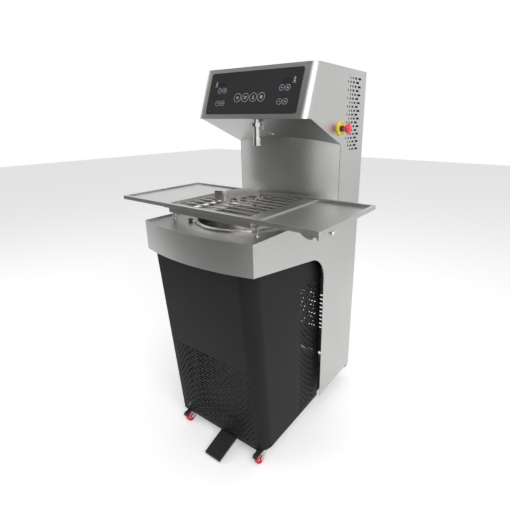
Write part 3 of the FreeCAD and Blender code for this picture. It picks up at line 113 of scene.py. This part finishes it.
def brushedSteel(name, stretch, dark=None, light=None, rough=None):
    material, tree, shader = startMaterial(name)
    fine = grain(tree, brushed["scale"], stretch)
    wide = grain(tree, brushed["cloudScale"], (1, 1, 1), brushed["cloudDetail"])
    colour = tint(tree, fine, dark or brushed["dark"], light or brushed["light"])
    cloud = tint(tree, wide, brushed["cloudDark"], (1, 1, 1))
    mix = addNode(tree, "ShaderNodeMix", data_type="RGBA", blend_type="MULTIPLY")
    mix.inputs[0].default_value = 1.0
    tree.links.new(colour.outputs["Color"], mix.inputs[6])
    tree.links.new(cloud.outputs["Color"], mix.inputs[7])
    tree.links.new(mix.outputs[2], shader.inputs["Base Color"])
    middle = rough or brushed["rough"]
    half = brushed["roughSpread"]
    roughness = spread(tree, fine, middle - half, middle + half)
    tree.links.new(roughness.outputs["Result"], shader.inputs["Roughness"])
    skin(tree, shader, fine, brushed["strength"], brushed["depth"])
    shader.inputs["Metallic"].default_value = 1.0
    return material


paint = {"detail": 3.0, "cloudScale": 6.0, "cloudDetail": 2.0, "roughSpread": 0.05}


def coated(name, dark, light, rough, scale, depth, strength=0.3, coat=0.0, gloss=0.5):
    # paint or moulded plastic with a fine skin
    material, tree, shader = startMaterial(name)
    fine = grain(tree, scale, (1, 1, 1), paint["detail"])
    wide = grain(tree, paint["cloudScale"], (1, 1, 1), paint["cloudDetail"])
    colour = tint(tree, wide, dark, light)
    tree.links.new(colour.outputs["Color"], shader.inputs["Base Color"])
    half = paint["roughSpread"]
    roughness = spread(tree, fine, rough - half, rough + half)
    tree.links.new(roughness.outputs["Result"], shader.inputs["Roughness"])
    skin(tree, shader, fine, strength, depth)
    shader.inputs["Specular IOR Level"].default_value = gloss
    shader.inputs["Coat Weight"].default_value = coat
    return material


finish = {
    "acrossFront": brushedSteel("steelFront", (0.4, 8, 30)),
    "acrossSide": brushedSteel("steelSide", (8, 0.4, 30)),
    "upright": brushedSteel("steelUpright", (30, 30, 0.6)),
    "top": brushedSteel("steelTop", (0.4, 30, 8)),
    "bowl": brushedSteel("steelBowl", (10, 10, 40), (0.58, 0.56, 0.54),
                         (0.68, 0.66, 0.64), 0.2),
    "polished": brushedSteel("steelPolished", (20, 20, 20), (0.66, 0.65, 0.64),
                             (0.76, 0.75, 0.74), 0.16),
    "wire": brushedSteel("steelWire", (4, 30, 30), (0.55, 0.53, 0.51),
                         (0.68, 0.66, 0.64), 0.22),
    "black": coated("blackCoat", (0.006, 0.006, 0.0065), (0.009, 0.009, 0.0095), 0.55, 900.0,
                    0.00008, 0.35, gloss=0.2),
    "pedal": coated("pedalCoat", (0.01, 0.01, 0.0105), (0.014, 0.014, 0.0145), 0.45, 900.0,
                    0.00008, 0.3, gloss=0.3),
    "glass": coated("panelGlass", (0.024, 0.025, 0.026), (0.03, 0.031, 0.032), 0.14, 300.0,
                    0.00001, 0.1, coat=0.3),
    "grey": coated("frameCoat", (0.28, 0.29, 0.3), (0.34, 0.35, 0.36), 0.5, 500.0, 0.0001),
    "machine": coated("motorEnamel", (0.07, 0.08, 0.09), (0.1, 0.11, 0.12), 0.4, 400.0, 0.0001),
    "zinc": brushedSteel("brightZinc", (12, 12, 12), (0.58, 0.58, 0.57),
                         (0.68, 0.68, 0.67), 0.3),
    "wheel": coated("redWheel", (0.58, 0.012, 0.02), (0.68, 0.02, 0.03), 0.3, 300.0, 0.00004,
                    coat=0.3),
    "hub": coated("paleHub", (0.72, 0.72, 0.72), (0.8, 0.8, 0.8), 0.35, 300.0, 0.00004),
    "plastic": coated("blackPlastic", (0.025, 0.025, 0.026), (0.035, 0.035, 0.036), 0.4, 700.0,
                      0.00006),
    "yellow": coated("yellowPlastic", (0.9, 0.68, 0.01), (0.95, 0.74, 0.02), 0.32, 400.0,
                     0.00003, coat=0.2),
    "red": coated("redPlastic", (0.72, 0.012, 0.03), (0.8, 0.02, 0.04), 0.28, 400.0, 0.00003,
                  coat=0.3),
    "rubber": coated("paleRubber", (0.75, 0.75, 0.72), (0.82, 0.82, 0.79), 0.6, 400.0, 0.00005),
    "fins": brushedSteel("coolerFins", (300, 1, 1), (0.1, 0.1, 0.105), (0.2, 0.2, 0.21), 0.45),
    "print": coated("palePrint", (0.5, 0.5, 0.5), (0.56, 0.56, 0.56), 0.4, 600.0, 0.00001),
    "display": coated("displayWindow", (0.012, 0.017, 0.04), (0.016, 0.022, 0.05), 0.1, 300.0,
                      0.00001, coat=0.5),
}

wears = {
    "acrossFront": ["head_front", "front_band", "back_panel", "table_carrier"],
    "acrossSide": ["side_panel_right", "side_panel_left"],
    "upright": ["splash_panel"],
    "top": ["top_cover", "deck", "tray", "head_underside"],
    "bowl": ["bowl", "mixer_paddle"],
    "wire": ["grate", "stream_guard"],
    "polished": ["auger_tube", "auger_screw", "feed_pipe", "delivery_pipe", "spout",
                 "clamp_rear_half", "clamp_front_half", "clamp_pin", "clamp_lever",
                 "pedal_bracket", "pedal_pin", "pedal_spring", "table_springs",
                 "spring_studs", "stop_stem", "table_knob"],
    "black": ["lower_cover"],
    "pedal": ["pedal"],
    "glass": ["control_glass"],
    "grey": ["base_frame"],
    "machine": ["mixer_gearmotor", "auger_gearmotor", "compressor", "vibration_motor"],
    "zinc": ["caster_mounts"] + ["caster_fork_" + c for c in corners],
    "wheel": ["caster_wheel_" + c for c in corners],
    "plastic": ["brake_tab_left", "brake_tab_right", "bowl_knobs", "stop_switch", "control_box",
                "fan_shroud", "fan_rotor", "power_inlet"],
    "yellow": ["stop_collar"],
    "red": ["stop_button"],
    "rubber": ["spout_gasket"],
    "fins": ["condenser"],
}
for key, names in wears.items():
    for name in names:
        for slot in nodes[name].material_slots:
            slot.material = finish[key]
print("finishes set")


# modelling helpers

def freshStart():
    if bpy.context.object and bpy.context.object.mode != "OBJECT":
        bpy.ops.object.mode_set(mode="OBJECT")
    bpy.ops.object.select_all(action="DESELECT")


def settle(piece, name, material, body):
    # leaves the piece at the origin, with its place in its mesh
    freshStart()
    bpy.context.view_layer.objects.active = piece
    piece.select_set(True)
    bpy.ops.object.transform_apply(location=True, rotation=True, scale=True)
    piece.name = name
    piece.data.materials.clear()
    piece.data.materials.append(material)
    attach(piece, body)
    return piece


def joinAll(pieces):
    freshStart()
    for piece in pieces:
        piece.select_set(True)
    bpy.context.view_layer.objects.active = pieces[0]
    bpy.ops.object.join()
    return bpy.context.object


# printed panel

panel = {"lean": 20.11, "tall": 0.161, "ink": 0.0003, "line": 0.0011,
         "bigRings": (-0.060, -0.023, 0.015, 0.052), "bigUp": 0.061, "bigRadius": 0.0165,
         "smallRings": (-0.158, -0.133, 0.135, 0.160), "smallUps": (0.091, 0.042),
         "smallRadius": 0.0105, "smallLine": 0.9, "ringSides": 40, "bigSign": 0.8,
         "smallSign": 0.9, "gauges": (-0.180, 0.183), "gaugeUp": 0.116, "gaugeSize": 0.012,
         "windows": (-0.149, 0.151), "windowUp": 0.116, "windowWide": 0.034,
         "windowTall": 0.016, "windowRound": 0.15}
glassLow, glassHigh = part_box("control_glass")
lean = math.radians(panel["lean"])
glassFoot = Vector((0, glassLow[1], glassHigh[2] - panel["tall"] * math.cos(lean)))
glassTurn = Matrix.Rotation(math.pi / 2 - lean, 4, "X")


def onGlass(piece, x, up):
    # lays a flat piece, drawn in its own XY plane, on the leaning glass
    lift = Vector((x, math.sin(lean) * up - math.cos(lean) * panel["ink"] / 2,
                   math.cos(lean) * up + math.sin(lean) * panel["ink"] / 2))
    piece.matrix_world = Matrix.Translation(glassFoot + lift) @ glassTurn
    return piece


def flatRing(radius, line, sides=panel["ringSides"]):
    freshStart()
    bpy.ops.mesh.primitive_circle_add(vertices=sides, radius=radius, fill_type="NGON")
    ring = bpy.context.object
    bpy.ops.object.mode_set(mode="EDIT")
    bpy.ops.mesh.select_all(action="SELECT")
    bpy.ops.mesh.inset(thickness=line)
    bpy.ops.mesh.delete(type="FACE")
    bpy.ops.mesh.select_all(action="SELECT")
    bpy.ops.mesh.extrude_region_move(TRANSFORM_OT_translate={"value": (0, 0, panel["ink"])})
    bpy.ops.mesh.select_all(action="SELECT")
    bpy.ops.mesh.normals_make_consistent(inside=False)
    bpy.ops.object.mode_set(mode="OBJECT")
    return ring


def flatBar(x, y, long, wide, turn=0.0):
    freshStart()
    bpy.ops.mesh.primitive_cube_add(size=1, location=(0, 0, 0))
    bar = bpy.context.object
    bar.dimensions = (long, wide, panel["ink"])
    bar.rotation_euler = (0, 0, math.radians(turn))
    bar.location = (x, y, panel["ink"] / 2)
    bpy.ops.object.transform_apply(location=True, rotation=True, scale=True)
    bpy.ops.object.modifier_add(type="BEVEL")
    bar.modifiers[-1].width = wide * 0.25
    bar.modifiers[-1].segments = 2
    bpy.ops.object.modifier_apply(modifier=bar.modifiers[-1].name)
    return bar


def flatDisc(x, y, radius, sides=20):
    freshStart()
    bpy.ops.mesh.primitive_circle_add(vertices=sides, radius=radius, fill_type="NGON",
                                      location=(x, y, 0))
    disc = bpy.context.object
    bpy.ops.object.transform_apply(location=True, rotation=True, scale=True)
    bpy.ops.object.mode_set(mode="EDIT")
    bpy.ops.mesh.select_all(action="SELECT")
    bpy.ops.mesh.extrude_region_move(TRANSFORM_OT_translate={"value": (0, 0, panel["ink"])})
    bpy.ops.mesh.select_all(action="SELECT")
    bpy.ops.mesh.normals_make_consistent(inside=False)
    bpy.ops.object.mode_set(mode="OBJECT")
    return disc


def glyph(kind, u):
    # simple signs, u across: fan, turning arrow, steps, sun, less, more, clock, wave
    if kind == "fan":
        blades = [flatBar(u * 0.28 * math.cos(a), u * 0.28 * math.sin(a), u * 0.5, u * 0.2,
                          math.degrees(a) + 35) for a in (0.3, 2.4, 4.5)]
        return blades + [flatDisc(0, 0, u * 0.12)]
    if kind == "turn":
        return [flatRing(u * 0.42, u * 0.13, 18),
                flatBar(u * 0.42, u * 0.2, u * 0.34, u * 0.13, 50)]
    if kind == "steps":
        return [flatBar(0, u * y, u * w, u * 0.16) for y, w in
                ((0.42, 0.2), (0.14, 0.42), (-0.14, 0.42), (-0.42, 0.62))]
    if kind == "sun":
        rays = [flatBar(0, 0, u * 1.1, u * 0.13, a) for a in (0, 45, 90, 135)]
        return rays + [flatDisc(0, 0, u * 0.26)]
    if kind == "less":
        return [flatBar(0, 0, u * 0.8, u * 0.2)]
    if kind == "more":
        return [flatBar(0, 0, u * 0.8, u * 0.2), flatBar(0, 0, u * 0.8, u * 0.2, 90)]
    if kind == "clock":
        return [flatBar(0, u * 0.2, u * 0.5, u * 0.16, 90),
                flatBar(u * 0.18, 0, u * 0.45, u * 0.16)]
    return [flatBar(u * x, 0, u * 0.5, u * 0.16, turn)
            for x, turn in ((-0.28, 50), (0.02, -50), (0.32, 50))]


def thermometer(u):
    return [flatBar(0, u * 0.35, u * 1.1, u * 0.22, 90),
            flatDisc(0, -u * 0.25, u * 0.26),
            flatBar(u * 0.3, u * 0.6, u * 0.22, u * 0.1),
            flatBar(u * 0.3, u * 0.35, u * 0.22, u * 0.1),
            flatBar(-u * 0.32, -u * 0.75, u * 0.4, u * 0.12),
            flatBar(u * 0.32, -u * 0.75, u * 0.4, u * 0.12)]


prints = []
for x, kind in zip(panel["bigRings"], ("fan", "turn", "steps", "sun")):
    ring = [flatRing(panel["bigRadius"], panel["line"])]
    ring += glyph(kind, panel["bigRadius"] * panel["bigSign"])
    prints.append(onGlass(joinAll(ring), x, panel["bigUp"]))
signs = {0: ("less", "more"), 1: ("clock", "wave")}
for row, up in enumerate(panel["smallUps"]):
    for count, x in enumerate(panel["smallRings"]):
        ring = [flatRing(panel["smallRadius"], panel["line"] * panel["smallLine"])]
        ring += glyph(signs[row][count % 2], panel["smallRadius"] * panel["smallSign"])
        prints.append(onGlass(joinAll(ring), x, up))
for x in panel["gauges"]:
    prints.append(onGlass(joinAll(thermometer(panel["gaugeSize"])), x, panel["gaugeUp"]))
settle(joinAll(prints), "panelPrint", finish["print"], "machine")


def displayWindow(x):
    freshStart()
    bpy.ops.mesh.primitive_plane_add(size=1)
    window = bpy.context.object
    window.dimensions = (panel["windowWide"], panel["windowTall"], 0)
    bpy.ops.object.transform_apply(location=False, rotation=False, scale=True)
    bpy.ops.object.mode_set(mode="EDIT")
    bpy.ops.mesh.select_all(action="SELECT")
    bpy.ops.mesh.bevel(offset=panel["windowTall"] * panel["windowRound"], segments=3,
                       affect="VERTICES")
    bpy.ops.mesh.select_all(action="SELECT")
    bpy.ops.mesh.extrude_region_move(TRANSFORM_OT_translate={"value": (0, 0, panel["ink"] / 2)})
    bpy.ops.mesh.select_all(action="SELECT")
    bpy.ops.mesh.normals_make_consistent(inside=False)
    bpy.ops.object.mode_set(mode="OBJECT")
    return onGlass(window, x, panel["windowUp"])


windows = [displayWindow(x) for x in panel["windows"]]
settle(joinAll(windows), "panelDisplays", finish["display"], "machine")
print("panel printed")


# wheel hubs

hub = {"radius": 0.0125, "deep": 0.002, "setIn": 0.0062, "edge": 0.0006, "sides": 32}
for corner in corners:
    low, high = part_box("caster_wheel_" + corner)
    y, z = (low[1] + high[1]) / 2, (low[2] + high[2]) / 2
    caps = []
    for side, x in ((-1, low[0]), (1, high[0])):
        freshStart()
        bpy.ops.mesh.primitive_cylinder_add(vertices=hub["sides"], radius=hub["radius"],
                                            depth=hub["deep"], rotation=(0, math.pi / 2, 0))
        cap = bpy.context.object
        cap.location = (x - side * hub["setIn"], y, z)
        bpy.ops.object.modifier_add(type="BEVEL")
        cap.modifiers[-1].width = hub["edge"]
        cap.modifiers[-1].segments = 2
        bpy.ops.object.modifier_apply(modifier=cap.modifiers[-1].name)
        caps.append(cap)
    settle(joinAll(caps), "wheelDiscs_" + corner, finish["hub"], "wheel_" + corner)
print("hubs added")


# floor, light, camera

def whiteWhenSeen(tree, glow):
    # the background is white to the eye and to mirrors, and keeps its shadow
    path = addNode(tree, "ShaderNodeLightPath")
    first = addNode(tree, "ShaderNodeMath", operation="ADD", use_clamp=True)
    second = addNode(tree, "ShaderNodeMath", operation="ADD", use_clamp=True)
    scale = addNode(tree, "ShaderNodeMath", operation="MULTIPLY")
    scale.inputs[1].default_value = glow
    tree.links.new(path.outputs["Is Camera Ray"], first.inputs[0])
    tree.links.new(path.outputs["Is Glossy Ray"], first.inputs[1])
    tree.links.new(first.outputs[0], second.inputs[0])
    tree.links.new(path.outputs["Is Transmission Ray"], second.inputs[1])
    tree.links.new(second.outputs[0], scale.inputs[0])
    return scale


ground = {"size": 24, "colour": (0.9, 0.9, 0.9, 1), "rough": 0.9, "gloss": 0.1, "glow": 0.3}
freshStart()
bpy.ops.mesh.primitive_plane_add(size=ground["size"])
floor = bpy.context.object
floor.name = "floor"
floorLook, floorTree, floorShader = startMaterial("paleFloor")
floorShader.inputs["Base Color"].default_value = ground["colour"]
floorShader.inputs["Roughness"].default_value = ground["rough"]
floorShader.inputs["Specular IOR Level"].default_value = ground["gloss"]
floorShader.inputs["Emission Color"].default_value = (1, 1, 1, 1)
glow = whiteWhenSeen(floorTree, ground["glow"])
floorTree.links.new(glow.outputs[0], floorShader.inputs["Emission Strength"])
floor.data.materials.append(floorLook)

# soft light all round, darker from the left and below
room = {"darkAt": 0.25, "dark": (0.22, 0.22, 0.22, 1), "lightAt": 0.8,
        "light": (0.75, 0.75, 0.75, 1), "towards": (0.32, -0.1, 0.3), "middle": 0.5,
        "strength": 0.8}
world = bpy.data.worlds.new("studio")
bpy.context.scene.world = world
world.use_nodes = True
sky = world.node_tree
sky.nodes.clear()
out = addNode(sky, "ShaderNodeOutputWorld")
soft = addNode(sky, "ShaderNodeBackground")
seen = addNode(sky, "ShaderNodeBackground")
seen.inputs["Color"].default_value = (1, 1, 1, 1)
seen.inputs["Strength"].default_value = 1.0
way = addNode(sky, "ShaderNodeTexCoord")
split = addNode(sky, "ShaderNodeSeparateXYZ")
ramp = addNode(sky, "ShaderNodeValToRGB")
ramp.color_ramp.elements[0].position = room["darkAt"]
ramp.color_ramp.elements[0].color = room["dark"]
ramp.color_ramp.elements[1].position = room["lightAt"]
ramp.color_ramp.elements[1].color = room["light"]
tilt = addNode(sky, "ShaderNodeVectorMath", operation="DOT_PRODUCT")
tilt.inputs[1].default_value = room["towards"]
lift = addNode(sky, "ShaderNodeMath", operation="ADD")
lift.inputs[1].default_value = room["middle"]
sky.links.new(way.outputs["Generated"], tilt.inputs[0])
sky.links.new(tilt.outputs["Value"], lift.inputs[0])
sky.links.new(lift.outputs[0], ramp.inputs["Fac"])
sky.links.new(ramp.outputs["Color"], soft.inputs["Color"])
soft.inputs["Strength"].default_value = room["strength"]
choose = addNode(sky, "ShaderNodeMixShader")
white = whiteWhenSeen(sky, 1.0)
sky.links.new(white.outputs[0], choose.inputs["Fac"])
sky.links.new(soft.outputs[0], choose.inputs[1])
sky.links.new(seen.outputs[0], choose.inputs[2])
sky.links.new(choose.outputs[0], out.inputs["Surface"])

# a dark card that only reflections show, ahead of the machine and to its left
card = {"low": (-7.0, -1.5, 0.0), "high": (0.3, -1.5, 4.0), "dark": 0.07, "pale": 0.2,
        "paleFrom": 0.0, "paleTo": 1.2}
freshStart()
bpy.ops.mesh.primitive_plane_add(size=1, rotation=(math.pi / 2, 0, 0))
flag = bpy.context.object
flag.name = "flagCard"
flag.dimensions = (card["high"][0] - card["low"][0], card["high"][2] - card["low"][2], 0)
flag.location = [(a + b) / 2 for a, b in zip(card["low"], card["high"])]
bpy.ops.object.transform_apply(location=True, rotation=True, scale=True)
flagLook, flagTree, flagShader = startMaterial("flagGrey")
height = addNode(flagTree, "ShaderNodeSeparateXYZ")
place = addNode(flagTree, "ShaderNodeTexCoord")
flagTree.links.new(place.outputs["Object"], height.inputs["Vector"])
fade = addNode(flagTree, "ShaderNodeMapRange")
fade.inputs["From Min"].default_value = card["paleFrom"]
fade.inputs["From Max"].default_value = card["paleTo"]
fade.inputs["To Min"].default_value = card["pale"]
fade.inputs["To Max"].default_value = card["dark"]
flagTree.links.new(height.outputs["Z"], fade.inputs["Value"])
flagShader.inputs["Base Color"].default_value = (0, 0, 0, 1)
flagShader.inputs["Roughness"].default_value = 1.0
flagShader.inputs["Specular IOR Level"].default_value = 0.0
flagShader.inputs["Emission Color"].default_value = (1, 1, 1, 1)
flagTree.links.new(fade.outputs["Result"], flagShader.inputs["Emission Strength"])
flag.data.materials.append(flagLook)
flag.visible_camera = False
flag.visible_diffuse = False
flag.visible_shadow = False
flag.visible_transmission = False


softBoxes = {
    "keyLight": {"place": (2.6, -1.6, 2.9), "target": (0, 0, 0.8), "size": 1.8, "power": 55},
    "fillLight": {"place": (-2.4, -2.2, 2.2), "target": (0, 0, 0.9), "size": 2.0, "power": 22},
    "topLight": {"place": (0, 0.3, 3.6), "target": (0, 0, 0), "size": 2.4, "power": 30},
}
for name, box in softBoxes.items():
    lamp = bpy.data.lights.new(name, "AREA")
    lamp.shape = "RECTANGLE"
    lamp.size = box["size"]
    lamp.size_y = box["size"]
    lamp.energy = box["power"]
    holder = bpy.data.objects.new(name, lamp)
    bpy.context.collection.objects.link(holder)
    aim = Vector(box["target"]) - Vector(box["place"])
    holder.location = box["place"]
    holder.rotation_euler = aim.to_track_quat("-Z", "Y").to_euler()

view = {"place": (0.9344, -1.1885, 1.315), "azimuth": 34.79, "down": 18.27, "lens": 26.43,
        "shiftX": -0.0524, "shiftY": -0.0236}
camera = bpy.data.cameras.new("camera")
camera.lens = view["lens"]
camera.shift_x = view["shiftX"]
camera.shift_y = view["shiftY"]
eye = bpy.data.objects.new("camera", camera)
bpy.context.collection.objects.link(eye)
eye.location = view["place"]
eye.rotation_euler = (math.radians(90 - view["down"]), 0, math.radians(view["azimuth"]))
bpy.context.scene.camera = eye
bpy.context.scene.view_settings.view_transform = "Standard"
print("light and camera set")
